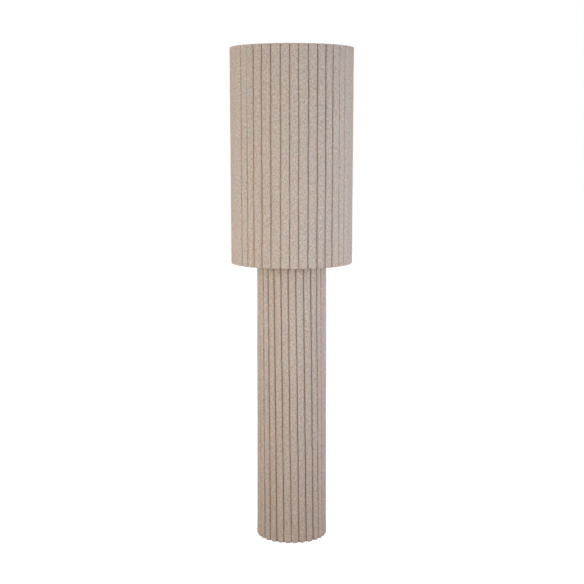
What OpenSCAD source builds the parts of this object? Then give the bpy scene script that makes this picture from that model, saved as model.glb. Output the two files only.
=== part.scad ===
/* [Shade] */
// Outer width of the shade across its pleats at the lower rim
shade_foot_d = 369; // [330:1:420]
// How much wider the shade is at its upper rim
shade_flare = 2; // [-60:1:60]
// Height of the shade's pleated cover
shade_h = 643; // [450:1:800]
// How far the shade's lower rim hangs below the top of the column's cap
shade_drop = 43; // [25:1:80]
// Number of pleats round the shade
shade_pleats = 42; // [30:1:56]
// How far the shade's pleats stand out from their folds
shade_pleat_depth = 5.5; // [4:0.5:8]
// Direction in degrees of one of the shade's folds
shade_fold_angle = -91.85; // [-180:0.05:180]

/* [Column] */
// Outer width of the column across its pleats at the floor
column_foot_d = 217; // [190:1:240]
// How much narrower the column is at its top
column_taper = 6; // [-20:1:30]
// Height of the column, from the floor to the top of its cap
column_h = 900; // [700:5:1100]
// Number of pleats round the column
column_pleats = 29; // [20:1:40]
// How far the column's pleats stand out from their folds
column_pleat_depth = 5; // [4:0.5:8]
// Direction in degrees of one of the column's folds at the foot
column_fold_angle = -90.35; // [-180:0.05:180]
// Angle in degrees by which the column's pleats turn round over its height
column_lean = -5.8; // [-12:0.2:12]
// Gap between the floor and the column's cloth
cloth_lift = 2; // [1:0.5:4]

/* [Pleats] */
// Width of the open fold between two pleats
fold_w = 3.4; // [2:0.2:6]
// Size of the turned edge on each side of a pleat
pleat_edge = 2.4; // [1:0.2:3]
// How far the middle of a pleat stands out over its edges
pleat_crown = 0.4; // [0.1:0.1:1]
// How far each pleat is drawn in and rounded off at its two ends
pleat_end = 2.6; // [1:0.2:3.5]
// Thickness of the cloth behind the folds
cloth_t = 1.2; // [0.6:0.1:2]

/* [Liners and hems] */
// Thickness of the stiff white liners
liner_t = 0.6; // [0.4:0.1:1.2]
// Thickness of the hem strips
hem_t = 0.8; // [0.5:0.1:1.2]
// Height of the hem strips' inner leg
hem_h = 15; // [8:1:25]
// Inner radius of the hem strips' turned corner
hem_r = 0.6; // [0.2:0.1:0.8]

/* [Wire frames] */
// Wire thickness of the shade's two rings
shade_ring_wire = 5; // [4:0.5:6]
// Wire thickness of the shade's uprights
shade_strut_wire = 4; // [3:0.5:5]
// Direction in degrees of the first upright of both frames
strut_angle = 30; // [0:1:90]
// Wire thickness of the column's two rings
column_ring_wire = 5; // [4:0.5:6]
// Wire thickness of the column's uprights
column_strut_wire = 4; // [3:0.5:5]

/* [Carrier] */
// Hole through the carrier ring
carrier_hole_d = 78; // [70:1:90]
// Width of the carrier ring's flat band
carrier_band = 11; // [8:1:16]
// Thickness of the carrier ring
carrier_t = 3; // [2:0.5:5]
// Bevel at the lower edge of the carrier ring's hole
carrier_bevel = 1; // [0.5:0.5:1.5]
// Wire thickness of the three carrier arms
arm_wire = 5; // [4:0.5:6]
// How far each arm lies over the carrier ring
arm_lap = 8; // [5:1:9]

/* [Base] */
// Thickness of the base plate under the column frame
base_t = 22; // [14:1:30]
// Height of the plate's raised middle, which the frame ring lies round
base_boss_h = 3; // [2:0.5:4]
// Bevel on the plate's edges
base_bevel = 1; // [0.5:0.5:2]
// Diameter of a rubber foot
foot_d = 22; // [16:1:30]
// Height of a rubber foot
foot_h = 7; // [6:0.5:10]
// How deep a foot sits in the plate
foot_seat = 3; // [2:0.5:4]
// Distance from a foot to the base plate's edge
foot_inset = 6.7; // [4:0.1:20]
// Direction in degrees of the first foot
foot_angle = 45; // [0:5:90]

/* [Pole] */
// Outer diameter of the pole
pole_d = 25; // [20:1:32]
// Wall of the pole
pole_wall = 1.5; // [1:0.25:2.5]
// Height of the two threaded plugs in the pole's ends
plug_h = 20; // [15:1:25]
// Diameter of the pole bolt and of the hollow threaded tube
thread_d = 10; // [8:1:12]
// How far the bolt's head sits above the plate's underside
bolt_recess = 1; // [0.5:0.5:4]
// Height of the pole bolt's head
bolt_head_h = 6.4; // [5:0.2:8]
// Width of the bolt's hexagonal head across its flats
bolt_head_w = 17; // [13:1:19]
// Diameter of the washer under the base plate
washer_d = 30; // [24:1:36]
// Thickness of the washer
washer_t = 2; // [1.5:0.25:3]
// How far a screwed-in end stops short of its plug's far side
thread_rest = 2; // [0:0.5:4]

/* [Cable inlet] */
// Height of the cable grommet above the floor
inlet_z = 62; // [60:1:90]
// Hole for the cable
inlet_bore_d = 7; // [6:0.5:8]
// Outer diameter of the grommet's neck
inlet_neck_d = 11; // [9.5:0.5:13]
// Diameter of the grommet's two flanges
inlet_flange_d = 17; // [14:1:22]
// Thickness of the outer flange
inlet_flange_t = 2; // [1.5:0.5:3]
// Thickness of the flat inner flange, inside the liner's curve
inlet_lip_t = 1; // [0.8:0.2:1.4]

/* [Cap and spigot] */
// Thickness of the column's cap at its rim
cap_t = 2; // [1.5:0.5:3]
// How much narrower than the pleats the cap is, all round
cap_inset = 0.6; // [0.2:0.2:2]
// Depth of the cap's locating boss underneath
cap_boss_h = 3; // [2:0.5:5]
// Height of the spigot that the carrier ring goes round
spigot_h = 24; // [16:1:32]
// Wall of the spigot
spigot_wall = 1.5; // [1:0.25:2.5]
// Radius of the spigot's shoulder
spigot_shoulder_r = 5; // [3:0.5:8]
// Thickness of the loose washer under the carrier ring
slip_t = 1.5; // [1:0.25:2.5]
// How far the washer stays inside the carrier ring's edge
slip_inset = 1; // [0.5:0.5:3]

/* [Lampholder] */
// Length of the stem tube between the spigot and the lampholder
stem_l = 138; // [90:1:200]
// Outer diameter of the stem tube
stem_d = 16; // [14:1:18]
// Bore of the hollow threaded tube
tube_bore_d = 7; // [5:0.5:8]
// Outer diameter of the lampholder
holder_d = 39; // [36:1:44]
// Height of the lampholder's dome
dome_h = 16; // [12:1:20]
// Height of the lampholder's skirt
skirt_h = 40; // [38:1:42]
// Wall of the dome and the skirt
holder_wall = 2; // [1.5:0.25:2.5]
// Number of grip grooves round the skirt
grips = 24; // [12:1:32]
// Width of a grip groove
grip_w = 2; // [1:0.2:2.4]
// Depth of a grip groove
grip_depth = 0.5; // [0.3:0.1:0.8]
// Distance from the grooves' ends to the skirt's two rims
grip_end = 4; // [2:0.5:8]
// Height of the ceramic insert
insert_h = 12; // [8:1:14]
// Diameter of the insert's two screw holes
insert_hole_d = 4; // [2.5:0.5:5]
// Height of the brass threaded shell
shell_h = 22; // [18:1:24]
// Height of the lampholder's contact over its insert
contact_h = 3; // [2.5:0.5:4]
// Width of the contact at its tip
contact_tip_d = 4; // [3:0.5:5]
// Thickness of the contact's spring plate
contact_t = 1; // [0.8:0.2:1.2]

/* [Bulb] */
// Diameter of the bulb's glass
bulb_d = 60; // [50:1:66]
// Length of the bulb, from its contact to its top
bulb_l = 106; // [100:1:120]
// Wall of the glass
glass_t = 1.2; // [0.8:0.1:1.6]
// Outer diameter of the bulb's screw thread
screw_d = 26.2; // [26:0.1:26.5]
// Length of the bulb's screw cap
screw_l = 23; // [22:1:24]
// Depth of the thread's grooves
screw_depth = 0.7; // [0.4:0.1:0.9]
// Rise of the thread from one groove to the next
screw_pitch = 3.6; // [3.2:0.1:4]
// Thickness of the screw cap's and the shell's sheet
sheet_t = 0.5; // [0.3:0.1:0.6]
// Height of the insulator with its contact, below the screw cap
insulator_h = 5; // [4:0.5:7]
// Height of the bulb's contact
tip_h = 1.5; // [1:0.25:2]
// Diameter of the bulb's contact at the bottom
tip_d = 5; // [4:0.5:6]
// Diameter of the bulb's contact where it meets the insulator
tip_top_d = 9; // [7:0.5:10]
// Diameter of the insulator's flat bottom
insulator_d = 12; // [10.5:0.5:14]
// Height of the post inside the bulb
post_h = 48; // [36:1:56]
// Diameter of the post at its top
post_top_d = 12; // [8:0.5:16]
// Gap between the foot of the post and the screw cap
post_gap = 1; // [0.5:0.5:2]
// Length of a light strip
strip_l = 35; // [20:1:38]
// Thickness of a light strip
strip_d = 1.6; // [1:0.1:2.4]

/* [Clearances] */
// Gap between cloth, liner and hem
cloth_gap = 0.3; // [0.2:0.05:0.5]
// Gap between a wire and what it lies against
wire_gap = 0.2; // [0.1:0.05:0.4]
// Gap left round screwed and pressed pieces
seat_gap = 0.1; // [0.05:0.05:0.2]
// Gap round the washer in the base plate's recess
recess_gap = 1; // [0.5:0.5:2]
// Gap between the spigot and what turns round it
turn_gap = 1; // [0.5:0.1:2]
// Gap between the bulb's thread and the lampholder's shell
screw_gap = 0.4; // [0.3:0.05:0.5]

/* [Hidden] */
$fn = 96;
oatmeal = "#c2b5a4";
liner_white = "#f1eee7";
steel = "#8e9194";
dark_steel = "#3b3c3e";
brass = "#c2a058";
wire_white = "#e4e2dc";

feet = 4;
column_struts = 4;
shade_struts = 6;
arms = 3;
strips = 4;
points_per_pleat = 6;
inner_points_per_pleat = 2;
lean_steps = 3;
thread_steps = 8;
past = 1;

// heights up the lamp
base_z = foot_h - foot_seat;
base_top = base_z + base_t;
boss_top = base_top + base_boss_h;
bolt_z = base_z + bolt_recess;
washer_z = bolt_z + bolt_head_h;
cap_z = column_h - cap_t;
cap_boss_z = cap_z - cap_boss_h;
hem_seat = hem_t + wire_gap;
column_liner_z = cloth_lift + hem_t + cloth_gap;
column_liner_top = cap_z - seat_gap - hem_t - cloth_gap;
column_cover_h = cap_z - cloth_gap - cloth_lift;
column_lower_ring_z = base_top + column_ring_wire / 2;
column_upper_ring_z = cap_z - seat_gap - hem_seat - column_ring_wire / 2;
slip_z = column_h + seat_gap;
carrier_z = slip_z + slip_t + seat_gap;
arm_z = carrier_z + carrier_t + seat_gap + arm_wire / 2;
shade_z = column_h - shade_drop;
shade_top = shade_z + shade_h;
shade_liner_z = shade_z + hem_t + cloth_gap;
shade_liner_top = shade_top - hem_t - cloth_gap;
shade_lower_ring_z = shade_z + hem_seat + shade_ring_wire / 2;
shade_upper_ring_z = shade_top - hem_seat - shade_ring_wire / 2;
spigot_top = column_h + spigot_h;
stem_top = spigot_top + stem_l;
skirt_z = stem_top + dome_h;
insert_top = skirt_z + insert_h;
bulb_z = insert_top + contact_h + seat_gap;
screw_z = bulb_z + insulator_h;
screw_top = screw_z + screw_l;
bulb_top = bulb_z + bulb_l;
post_top = screw_z + post_h;

// radii of the column and the shade at any height
function column_crest_r(z) = (column_foot_d - column_taper * z / column_h) / 2;
function shade_crest_r(z) = (shade_foot_d + shade_flare * (z - shade_z) / shade_h) / 2;
function column_cloth_r(z) = column_crest_r(z) - column_pleat_depth - cloth_t;
function shade_cloth_r(z) = shade_crest_r(z) - shade_pleat_depth - cloth_t;
function column_liner_r(z) = column_cloth_r(z) - cloth_gap;
function shade_liner_r(z) = shade_cloth_r(z) - cloth_gap;
function column_ring_r(z) = column_liner_r(z) - liner_t - wire_gap - column_ring_wire / 2;
function shade_ring_r(z) = shade_liner_r(z) - liner_t - wire_gap - shade_ring_wire / 2;

column_lower_ring_r = column_ring_r(column_lower_ring_z);
column_upper_ring_r = column_ring_r(column_upper_ring_z);
shade_lower_ring_r = shade_ring_r(shade_lower_ring_z);
shade_upper_ring_r = shade_ring_r(shade_upper_ring_z);
boss_r = column_lower_ring_r - column_ring_wire / 2 - wire_gap;
base_hem_r = column_liner_r(0) - liner_t - cloth_gap;
base_r = base_hem_r - hem_t - 2 * cloth_gap;
foot_circle_r = base_r - foot_inset - foot_d / 2;
cap_hem_r = column_upper_ring_r - column_ring_wire / 2 - wire_gap;
cap_boss_r = cap_hem_r - hem_t - cloth_gap;
cap_r = column_crest_r(cap_z) - cap_inset;
spigot_r = carrier_hole_d / 2 - turn_gap;
carrier_r = carrier_hole_d / 2 + carrier_band;
thread_hole_d = thread_d + 2 * seat_gap;
pole_bore_r = pole_d / 2 - pole_wall;
plug_r = pole_bore_r - seat_gap;
skirt_bore_r = holder_d / 2 - holder_wall;
insert_r = skirt_bore_r - seat_gap;
shell_r = screw_d / 2 + screw_gap;
neck_r = screw_d / 2 + sheet_t;
post_r = screw_d / 2 - screw_depth - sheet_t - post_gap;

// Corner points of one pleat: distance round from the fold's middle, height over the fold's bottom
function pleat_outline(pitch, depth) = [
    [0, 0],
    [fold_w / 2, depth - pleat_edge],
    [fold_w / 2 + pleat_edge, depth - pleat_crown],
    [pitch / 2, depth],
    [pitch - fold_w / 2 - pleat_edge, depth - pleat_crown],
    [pitch - fold_w / 2, depth - pleat_edge]
];

// Points of a pleated cover round the axis at height z, with the pleats' relief scaled
function pleat_level(pleats, crest_r, depth, z, turn, relief) = [
    for (i = [0 : pleats - 1])
        let (pitch = 2 * PI * crest_r / pleats)
        for (p = pleat_outline(pitch, depth))
            let (a = turn + 360 * (i + p[0] / pitch) / pleats, r = crest_r - depth + p[1] * relief)
                [r * cos(a), r * sin(a), z]
];

// Points of a plain round wall at height z, its flats touching radius r
function wall_level(count, r, z, turn) = [
    for (i = [0 : count - 1])
        let (a = turn + 360 * i / count)
            [r * cos(a), r * sin(a), z]
];

// Two triangles for each step round between two levels of points, seen from outside
function band(low, high, count) = [
    for (i = [0 : count - 1], t = [0, 1])
        let (j = (i + 1) % count)
            t == 0 ? [low + i, high + i, high + j] : [low + i, high + j, low + j]
];

// Ring of triangles from the round inner wall out to the pleats, seen from below
function rim(inner, outer, inner_count, outer_count) = [
    for (i = [0 : inner_count - 1])
        let (step = outer_count / inner_count, half = ceil(step / 2), o = i * step)
        each concat(
            [for (k = [0 : half - 1]) [inner + i, outer + o + k, outer + o + k + 1]],
            [[inner + i, outer + o + half, inner + (i + 1) % inner_count]],
            [for (k = [half : step - 1])
                [inner + (i + 1) % inner_count, outer + o + k, outer + (o + k + 1) % outer_count]]
        )
];

function reversed(faces) = [for (f = faces) [f[2], f[1], f[0]]];

function backwards(list) = [for (i = [len(list) - 1 : -1 : 0]) list[i]];

// Pleated cloth tube standing at z = 0: box pleats outside, a round wall inside
module pleated_cover(foot_r, top_r, h, pleats, depth, fold_angle, lean, bands) {
    tucked = 1 - pleat_end / depth;
    levels = concat(
        [[0, tucked]],
        [for (i = [0 : bands]) [pleat_end + (h - 2 * pleat_end) * i / bands, 1]],
        [[h, tucked]]
    );
    outer_n = pleats * points_per_pleat;
    inner_n = pleats * inner_points_per_pleat;
    inner_at = len(levels) * outer_n;
    flat_share = cos(180 / inner_n) * cos(lean / 2);
    outside = [
        for (l = levels)
            each pleat_level(pleats, foot_r + (top_r - foot_r) * l[0] / h, depth, l[0],
                fold_angle + lean * l[0] / h, l[1])
    ];
    inside = concat(
        wall_level(inner_n, (foot_r - depth - cloth_t) / flat_share, 0, fold_angle),
        wall_level(inner_n, (top_r - depth - cloth_t) / flat_share, h, fold_angle + lean)
    );
    polyhedron(
        points = concat(outside, inside),
        faces = concat(
            [for (k = [0 : len(levels) - 2]) each band(k * outer_n, (k + 1) * outer_n, outer_n)],
            reversed(band(inner_at, inner_at + inner_n, inner_n)),
            rim(inner_at, 0, inner_n, outer_n),
            reversed(rim(inner_at + inner_n, (len(levels) - 1) * outer_n, inner_n, outer_n))
        )
    );
}

// Thin tapering tube between two heights
module liner(foot_r, foot_z, top_r, top_z) {
    rotate_extrude()
        polygon([
            [foot_r - liner_t, foot_z],
            [foot_r, foot_z],
            [top_r, top_z],
            [top_r - liner_t, top_z]
        ]);
}

// Strip folded over a rim: a flat crown out to crown_r and a leg down inside at leg_r
module hem(leg_r, crown_r) {
    bend_r = hem_t + min(hem_r, liner_t + cloth_gap);
    rotate_extrude()
        translate([leg_r - hem_t, 0]) {
            translate([0, -hem_h])
                square([hem_t, hem_h - bend_r]);
            translate([bend_r, -hem_t])
                square([crown_r - leg_r + hem_t - bend_r, hem_t]);
            intersection() {
                translate([bend_r, -bend_r])
                    difference() {
                        circle(r = bend_r);
                        circle(r = bend_r - hem_t);
                    }
                translate([0, -bend_r])
                    square(bend_r);
            }
        }
}

module wire_ring(r, z, wire) {
    rotate_extrude()
        translate([r, z])
            circle(d = wire, $fn = 32);
}

// Upright wire from the top of the lower ring to the underside of the upper one
module strut(low_r, low_z, high_r, high_z, ring_wire, wire, angle) {
    rise = high_z - low_z;
    gap = ring_wire / 2 + seat_gap;
    rotate(angle)
        translate([low_r, 0, low_z])
            rotate([0, atan((high_r - low_r) / rise), 0])
                translate([0, 0, gap])
                    cylinder(d = wire, h = rise - 2 * gap, $fn = 32);
}

module tube(outer_r, inner_r, z, h) {
    translate([0, 0, z])
        difference() {
            cylinder(r = outer_r, h = h);
            translate([0, 0, -past])
                cylinder(r = inner_r, h = h + 2 * past);
        }
}

// Round hole towards the back of the lamp at the cable inlet's height
module inlet_hole(d, from_y, to_y) {
    translate([0, from_y, inlet_z])
        rotate([-90, 0, 0])
            cylinder(d = d, h = to_y - from_y);
}

// Places a piece at one of the feet
module at_foot(i) {
    rotate(foot_angle + 360 * (i - 1) / feet)
        translate([foot_circle_r, 0, 0])
            children();
}

module base_plate() {
    color(dark_steel)
        difference() {
            rotate_extrude()
                polygon([
                    [0, base_z],
                    [base_r - base_bevel, base_z],
                    [base_r, base_z + base_bevel],
                    [base_r, base_top - base_bevel],
                    [base_r - base_bevel, base_top],
                    [boss_r, base_top],
                    [boss_r, boss_top - base_bevel],
                    [boss_r - base_bevel, boss_top],
                    [0, boss_top]
                ]);
            for (i = [1 : feet])
                at_foot(i)
                    cylinder(d = foot_d + 2 * wire_gap, h = foot_h);
            cylinder(d = washer_d + 2 * recess_gap, h = washer_z + washer_t);
            cylinder(d = thread_hole_d, h = boss_top + past);
        }
}

module foot(i) {
    color("#2b2b2b")
        at_foot(i)
            rotate_extrude()
                polygon([
                    [0, 0],
                    [foot_d / 2 - base_bevel, 0],
                    [foot_d / 2, base_bevel],
                    [foot_d / 2, foot_h],
                    [0, foot_h]
                ]);
}

// Hexagonal bolt from below, through the plate into the pole's lower plug
module pole_bolt() {
    color(steel) {
        translate([0, 0, bolt_z])
            cylinder(d = bolt_head_w / cos(30), h = bolt_head_h, $fn = 6);
        translate([0, 0, washer_z])
            cylinder(d = thread_d, h = boss_top + plug_h - thread_rest - washer_z);
    }
}

module pole_washer() {
    color(steel)
        tube(washer_d / 2, thread_hole_d / 2, washer_z, washer_t);
}

module pole() {
    color(steel)
        difference() {
            tube(pole_d / 2, pole_bore_r, boss_top, cap_boss_z - boss_top);
            inlet_hole(inlet_neck_d, 0, pole_d);
        }
}

module plug(z) {
    color(steel)
        tube(plug_r, thread_hole_d / 2, z, plug_h);
}

// Hollow threaded tube from the upper plug through cap, spigot and stem into the lampholder
module threaded_tube() {
    low = cap_boss_z - plug_h + thread_rest;
    color(brass)
        tube(thread_d / 2, tube_bore_d / 2, low, stem_top + dome_h / 2 - low);
}

module column_strut(i) {
    color(wire_white)
        strut(column_lower_ring_r, column_lower_ring_z, column_upper_ring_r, column_upper_ring_z,
            column_ring_wire, column_strut_wire, strut_angle + 360 * (i - 1) / column_struts);
}

module column_liner() {
    back = column_liner_r(0);
    color(liner_white)
        difference() {
            liner(column_liner_r(column_liner_z), column_liner_z,
                column_liner_r(column_liner_top), column_liner_top);
            inlet_hole(inlet_neck_d + 2 * seat_gap, back / 2, back + past);
        }
}

module column_lower_hem() {
    color(oatmeal)
        translate([0, 0, cloth_lift])
            mirror([0, 0, 1])
                hem(base_hem_r, column_liner_r(0));
}

module column_upper_hem() {
    color(oatmeal)
        translate([0, 0, cap_z - seat_gap])
            hem(cap_hem_r, column_liner_r(column_liner_top));
}

module column_cover() {
    back = column_crest_r(inlet_z);
    color(oatmeal)
        difference() {
            translate([0, 0, cloth_lift])
                pleated_cover(column_crest_r(cloth_lift), column_crest_r(cloth_lift + column_cover_h),
                    column_cover_h, column_pleats, column_pleat_depth,
                    column_fold_angle, column_lean, lean_steps);
            inlet_hole(inlet_neck_d + 2 * seat_gap, back / 2, back + past);
        }
}

// Turned disc that closes the column, with a boss inside the upper ring
module column_cap() {
    color(wire_white)
        difference() {
            rotate_extrude()
                polygon([
                    [0, cap_boss_z],
                    [cap_boss_r, cap_boss_z],
                    [cap_boss_r, cap_z],
                    [cap_r, cap_z],
                    [cap_r, column_h - cap_t / 2],
                    [cap_r - cap_t / 2, column_h],
                    [0, column_h]
                ]);
            translate([0, 0, cap_boss_z - past])
                cylinder(d = thread_hole_d, h = cap_boss_h + cap_t + 2 * past);
        }
}

// Rubber grommet through the liner and the cloth, with a flange on each side
module cable_grommet() {
    inner_y = column_liner_r(inlet_z) - liner_t - cloth_gap - inlet_flange_t;
    outer_y = column_crest_r(inlet_z) + cloth_gap;
    color("#2b2b2b")
        difference() {
            union() {
                inlet_hole(inlet_neck_d, inner_y, outer_y + inlet_flange_t);
                inlet_hole(inlet_flange_d, inner_y, inner_y + inlet_lip_t);
                inlet_hole(inlet_flange_d, outer_y, outer_y + inlet_flange_t);
            }
            inlet_hole(inlet_bore_d, inner_y - past, outer_y + inlet_flange_t + past);
        }
}

// Inverted cup on the cap that keeps the carrier ring in the middle
module spigot() {
    shoulder = spigot_r - spigot_shoulder_r;
    color(wire_white)
        translate([0, 0, column_h])
            rotate_extrude()
                difference() {
                    union() {
                        square([shoulder, spigot_h]);
                        square([spigot_r, spigot_h - spigot_shoulder_r]);
                        translate([shoulder, spigot_h - spigot_shoulder_r])
                            circle(r = spigot_shoulder_r);
                    }
                    square([thread_hole_d / 2, spigot_h]);
                    square([shoulder, spigot_h - spigot_wall]);
                    square([spigot_r - spigot_wall, spigot_h - spigot_shoulder_r]);
                    translate([shoulder, spigot_h - spigot_shoulder_r])
                        circle(r = spigot_shoulder_r - spigot_wall);
                }
}

module stem_tube() {
    color(brass)
        tube(stem_d / 2, thread_hole_d / 2, spigot_top, stem_l);
}

// Points of a quarter dome's outline, from its neck at height z up to its full radius
function dome_points(neck, z, r, h) = [
    for (a = [0 : 15 : 90]) [neck + (r - neck) * sin(a), z + h * (1 - cos(a))]
];

module holder_dome() {
    neck = stem_d / 2;
    color(dark_steel)
        translate([0, 0, stem_top])
            rotate_extrude()
                polygon(concat(
                    [[thread_hole_d / 2, 0]],
                    dome_points(neck, 0, holder_d / 2, dome_h),
                    backwards(dome_points(neck, holder_wall, skirt_bore_r, dome_h - holder_wall)),
                    [[thread_hole_d / 2, holder_wall]]
                ));
}

module holder_skirt() {
    color(dark_steel)
        difference() {
            tube(holder_d / 2, skirt_bore_r, skirt_z, skirt_h);
            for (i = [0 : grips - 1])
                rotate(360 * i / grips)
                    translate([(holder_d + grip_w) / 2 - grip_depth, 0, skirt_z + grip_end])
                        cylinder(d = grip_w, h = skirt_h - 2 * grip_end, $fn = 24);
        }
}

module holder_insert() {
    color("white")
        difference() {
            tube(insert_r, tube_bore_d / 2, skirt_z, insert_h);
            for (side = [-1, 1])
                translate([side * insert_r / 2, 0, skirt_z - past])
                    cylinder(d = insert_hole_d, h = insert_h + 2 * past);
        }
}

// Outline of a rolled thread at radius r: one shallow wave for each turn
function thread_points(r, z, h) = [
    for (i = [0 : ceil(h / screw_pitch * thread_steps)])
        let (rise = min(i * screw_pitch / thread_steps, h))
            [r - screw_depth * (1 - cos(360 * rise / screw_pitch)) / 2, z + rise]
];

// Sheet sleeve with a rolled thread
module threaded_sleeve(r, z, h) {
    rotate_extrude()
        polygon(concat(thread_points(r, z, h), backwards(thread_points(r - sheet_t, z, h))));
}

module holder_shell() {
    color(brass)
        threaded_sleeve(shell_r + screw_depth + sheet_t, insert_top, shell_h);
}

// Spring tongue with a raised button in the middle
module holder_contact() {
    contact_r = tube_bore_d / 2 + 2 * contact_t;
    color(brass)
        translate([0, 0, insert_top]) {
            tube(contact_r, tube_bore_d / 2 - contact_t, 0, contact_t);
            translate([0, 0, contact_t])
                cylinder(r = contact_r - contact_t, h = sheet_t);
            translate([0, 0, contact_t + sheet_t])
                cylinder(d1 = tube_bore_d, d2 = contact_tip_d, h = contact_h - contact_t - sheet_t);
        }
}

module slip_washer() {
    color("ivory")
        tube(carrier_r - slip_inset, carrier_hole_d / 2 - turn_gap / 2, slip_z, slip_t);
}

module carrier_ring() {
    color(wire_white)
        translate([0, 0, carrier_z])
            rotate_extrude()
                polygon([
                    [carrier_hole_d / 2 + carrier_bevel, 0],
                    [carrier_r, 0],
                    [carrier_r, carrier_t],
                    [carrier_hole_d / 2, carrier_t],
                    [carrier_hole_d / 2, carrier_bevel]
                ]);
}

// Arm lying on the carrier ring and reaching out to every other upright
module carrier_arm(i) {
    reach = shade_ring_r(arm_z) - shade_strut_wire / 2 - wire_gap;
    color(wire_white)
        rotate(strut_angle + 360 * (i - 1) / arms)
            translate([carrier_r - arm_lap, 0, arm_z])
                rotate([0, 90, 0])
                    cylinder(d = arm_wire, h = reach - carrier_r + arm_lap, $fn = 32);
}

module shade_strut(i) {
    color(wire_white)
        strut(shade_lower_ring_r, shade_lower_ring_z, shade_upper_ring_r, shade_upper_ring_z,
            shade_ring_wire, shade_strut_wire, strut_angle + 360 * (i - 1) / shade_struts);
}

module shade_liner() {
    color(liner_white)
        liner(shade_liner_r(shade_liner_z), shade_liner_z,
            shade_liner_r(shade_liner_top), shade_liner_top);
}

module shade_lower_hem() {
    color(oatmeal)
        translate([0, 0, shade_z])
            mirror([0, 0, 1])
                hem(shade_lower_ring_r - shade_ring_wire / 2 - wire_gap,
                    shade_liner_r(shade_liner_z));
}

module shade_upper_hem() {
    color(oatmeal)
        translate([0, 0, shade_top])
            hem(shade_upper_ring_r - shade_ring_wire / 2 - wire_gap,
                shade_liner_r(shade_liner_top));
}

module shade_cover() {
    color(oatmeal)
        translate([0, 0, shade_z])
            pleated_cover(shade_crest_r(shade_z), shade_crest_r(shade_top), shade_h, shade_pleats,
                shade_pleat_depth, shade_fold_angle, 0, 1);
}

// Outline of the bulb's glass, from its neck up round the globe to its top
function glass_points(r, neck, neck_z, top_z) =
    let (middle = top_z - r, tangent = 40, start = [r * cos(tangent), middle - r * sin(tangent)])
    concat(
        [for (t = [0 : 0.125 : 0.875])
            [neck + (start[0] - neck) * t * t, neck_z + (start[1] - neck_z) * (1 - (1 - t) * (1 - t))]],
        [for (a = [-tangent : 10 : 90]) [r * cos(a), middle + r * sin(a)]]
    );

module bulb_glass() {
    color("white", 0.9)
        rotate_extrude()
            polygon(concat(
                glass_points(bulb_d / 2, neck_r, screw_top, bulb_top),
                backwards(glass_points(bulb_d / 2 - glass_t, neck_r - glass_t, screw_top,
                    bulb_top - glass_t))
            ));
}

module bulb_screw() {
    color(steel)
        threaded_sleeve(screw_d / 2, screw_z, screw_l);
}

module bulb_insulator() {
    color("#1d1d1d")
        translate([0, 0, bulb_z + tip_h])
            cylinder(d1 = insulator_d, d2 = screw_d - 2 * screw_depth, h = insulator_h - tip_h);
}

module bulb_contact() {
    color(brass)
        translate([0, 0, bulb_z])
            cylinder(d1 = tip_d, d2 = tip_top_d, h = tip_h);
}

module bulb_post() {
    color("white")
        translate([0, 0, screw_z])
            cylinder(r1 = post_r, r2 = post_top_d / 2, h = post_h);
}

// Straight strips standing on the post
module bulb_strips() {
    color("gold")
        for (i = [0 : strips - 1])
            rotate(360 * i / strips)
                translate([post_top_d / 2 - strip_d, 0, post_top])
                    cylinder(d = strip_d, h = strip_l, $fn = 24);
}

base_plate();
foot(1);  // foot_1
foot(2);  // foot_2
foot(3);  // foot_3
foot(4);  // foot_4
pole_bolt();
pole_washer();
pole();
plug(boss_top);  // lower_plug
plug(cap_boss_z - plug_h);  // upper_plug
threaded_tube();
color(wire_white) wire_ring(column_lower_ring_r, column_lower_ring_z, column_ring_wire);  // column_lower_ring
color(wire_white) wire_ring(column_upper_ring_r, column_upper_ring_z, column_ring_wire);  // column_upper_ring
column_strut(1);  // column_strut_1
column_strut(2);  // column_strut_2
column_strut(3);  // column_strut_3
column_strut(4);  // column_strut_4
column_liner();
column_lower_hem();
column_upper_hem();
column_cover();
column_cap();
cable_grommet();
spigot();
stem_tube();
holder_dome();
holder_skirt();
holder_insert();
holder_shell();
holder_contact();
slip_washer();
carrier_ring();
carrier_arm(1);  // carrier_arm_1
carrier_arm(2);  // carrier_arm_2
carrier_arm(3);  // carrier_arm_3
color(wire_white) wire_ring(shade_lower_ring_r, shade_lower_ring_z, shade_ring_wire);  // shade_lower_ring
color(wire_white) wire_ring(shade_upper_ring_r, shade_upper_ring_z, shade_ring_wire);  // shade_upper_ring
shade_strut(1);  // shade_strut_1
shade_strut(2);  // shade_strut_2
shade_strut(3);  // shade_strut_3
shade_strut(4);  // shade_strut_4
shade_strut(5);  // shade_strut_5
shade_strut(6);  // shade_strut_6
shade_liner();
shade_lower_hem();
shade_upper_hem();
shade_cover();
bulb_glass();
bulb_screw();
bulb_insulator();
bulb_contact();
bulb_post();
bulb_strips();
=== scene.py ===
import bpy
import bmesh
import math
import random
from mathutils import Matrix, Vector, noise


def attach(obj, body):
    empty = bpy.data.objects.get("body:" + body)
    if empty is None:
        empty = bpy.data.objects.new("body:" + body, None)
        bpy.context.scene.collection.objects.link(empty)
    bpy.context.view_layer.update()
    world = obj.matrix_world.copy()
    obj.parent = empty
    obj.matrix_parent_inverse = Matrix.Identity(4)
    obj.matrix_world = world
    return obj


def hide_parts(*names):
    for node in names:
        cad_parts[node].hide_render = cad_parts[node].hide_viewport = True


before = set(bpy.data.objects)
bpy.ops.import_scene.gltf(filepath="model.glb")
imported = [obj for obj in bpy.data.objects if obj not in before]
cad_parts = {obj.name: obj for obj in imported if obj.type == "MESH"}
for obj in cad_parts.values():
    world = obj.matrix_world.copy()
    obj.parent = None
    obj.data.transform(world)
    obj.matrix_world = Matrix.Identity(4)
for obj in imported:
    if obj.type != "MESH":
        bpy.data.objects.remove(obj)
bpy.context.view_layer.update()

scene = bpy.context.scene
mm = 0.001
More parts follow.
